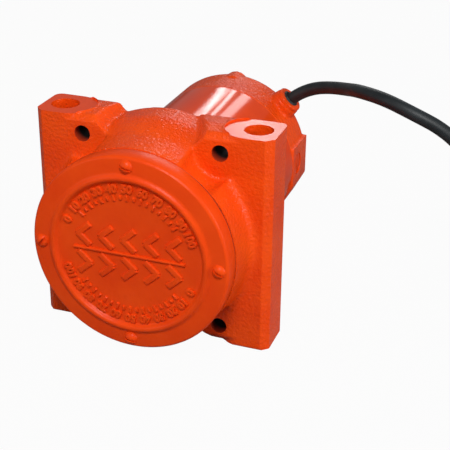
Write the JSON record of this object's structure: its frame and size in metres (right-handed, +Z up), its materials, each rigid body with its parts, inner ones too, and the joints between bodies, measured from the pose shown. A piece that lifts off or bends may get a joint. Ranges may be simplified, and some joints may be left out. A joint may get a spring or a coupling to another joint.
{
  "type": "vibration motor",
  "caption": "Cast rotary electric vibrator: keyed eccentric weight behind a round screwed cover, lugged mounting plate, tubular motor behind and a plug-in cord.",
  "frame": {"origin": "middle of the mounting foot: between the two upright bolt bores, on the plate's mid-plane, level with the lower pads", "axes": "+Z up along the upright bolt bores, +X to the right seen from the cover, +Y along the shaft from the cover to the motor"},
  "size_m": [0.3954, 0.31, 0.1588],
  "materials": {
    "cast_enamel": "semi-gloss enamel over sand-cast iron",
    "tube_enamel": "gloss enamel over drawn steel tube",
    "machined_steel": "turned",
    "bearing_steel": "ground and polished",
    "zinc_plate": "bright zinc plated",
    "laminations": "stacked electrical steel, varnished",
    "copper": "enamelled winding wire and bars",
    "carbon": "pressed graphite",
    "phenolic": "moulded phenolic",
    "gasket_fibre": "pressed fibre and rubber",
    "seal_rubber": "moulded nitrile",
    "cord_jacket": "thermoset cord jacket, satin",
    "plug_moulding": "moulded vinyl, satin",
    "plug_brass": "nickel plated brass"
  },
  "bodies": {
    "frame": {"housing": "cast_enamel", "cover": "cast_enamel", "end_bell": "cast_enamel", "cover_screws": "cast_enamel", "motor_shell": "tube_enamel", "cord_gland": "cast_enamel", "brush_caps": "cast_enamel", "cover_gasket": "gasket_fibre", "bearing_retainer": "machined_steel", "retainer_screws": "zinc_plate", "shaft_seal": "seal_rubber", "front_bearing_outer_race": "bearing_steel", "rear_bearing_outer_race": "bearing_steel", "stator_core": "laminations", "field_coils": "copper", "through_bolts": "zinc_plate", "through_bolt_washers": "zinc_plate", "wave_washer": "machined_steel", "brush_holders": "phenolic", "right_brush_spring": "machined_steel", "left_brush_spring": "machined_steel", "cord_grommet": "seal_rubber", "power_cord": "cord_jacket", "cord_coil": "cord_jacket", "cord_tail": "cord_jacket", "plug_body": "plug_moulding", "plug_blades": "plug_brass", "plug_earth_pin": "plug_brass"},
    "rotor": {"rotor_shaft": "machined_steel", "weight_key": "machined_steel", "eccentric_weight": "machined_steel", "weight_washer": "zinc_plate", "weight_bolt": "zinc_plate", "spacer_sleeve": "machined_steel", "front_bearing_inner_race": "bearing_steel", "rear_bearing_inner_race": "bearing_steel", "armature_core": "laminations", "armature_winding": "copper", "commutator": "copper"},
    "front_ball_set": {"front_bearing_balls": "bearing_steel", "front_bearing_cage": "machined_steel"},
    "rear_ball_set": {"rear_bearing_balls": "bearing_steel", "rear_bearing_cage": "machined_steel"},
    "right_brush": {"right_brush": "carbon"},
    "left_brush": {"left_brush": "carbon"}
  },
  "joints": [
    {"name": "rotor_spin", "type": "hinge", "parent": "frame", "child": "rotor", "pos_m": [0, 0, 0.076], "axis": [0, 1, 0], "continuous": true},
    {"name": "front_cage_spin", "type": "hinge", "parent": "frame", "child": "front_ball_set", "pos_m": [0, 0.0055, 0.076], "axis": [0, 1, 0], "continuous": true},
    {"name": "rear_cage_spin", "type": "hinge", "parent": "frame", "child": "rear_ball_set", "pos_m": [0, 0.1443, 0.076], "axis": [0, 1, 0], "continuous": true},
    {"name": "right_brush_slide", "type": "slide", "parent": "frame", "child": "right_brush", "axis": [1, 0, 0], "range_m": [0, 0.002], "stiffness_N_per_m": 250, "springref_m": -0.004, "deforming": ["right_brush_spring"]},
    {"name": "left_brush_slide", "type": "slide", "parent": "frame", "child": "left_brush", "axis": [-1, 0, 0], "range_m": [0, 0.002], "stiffness_N_per_m": 250, "springref_m": -0.004, "deforming": ["left_brush_spring"]}
  ],
  "couplings": [
    {"joint": "front_cage_spin", "follows": "rotor_spin", "ratio": 0.3824},
    {"joint": "rear_cage_spin", "follows": "rotor_spin", "ratio": 0.3816}
  ]
}
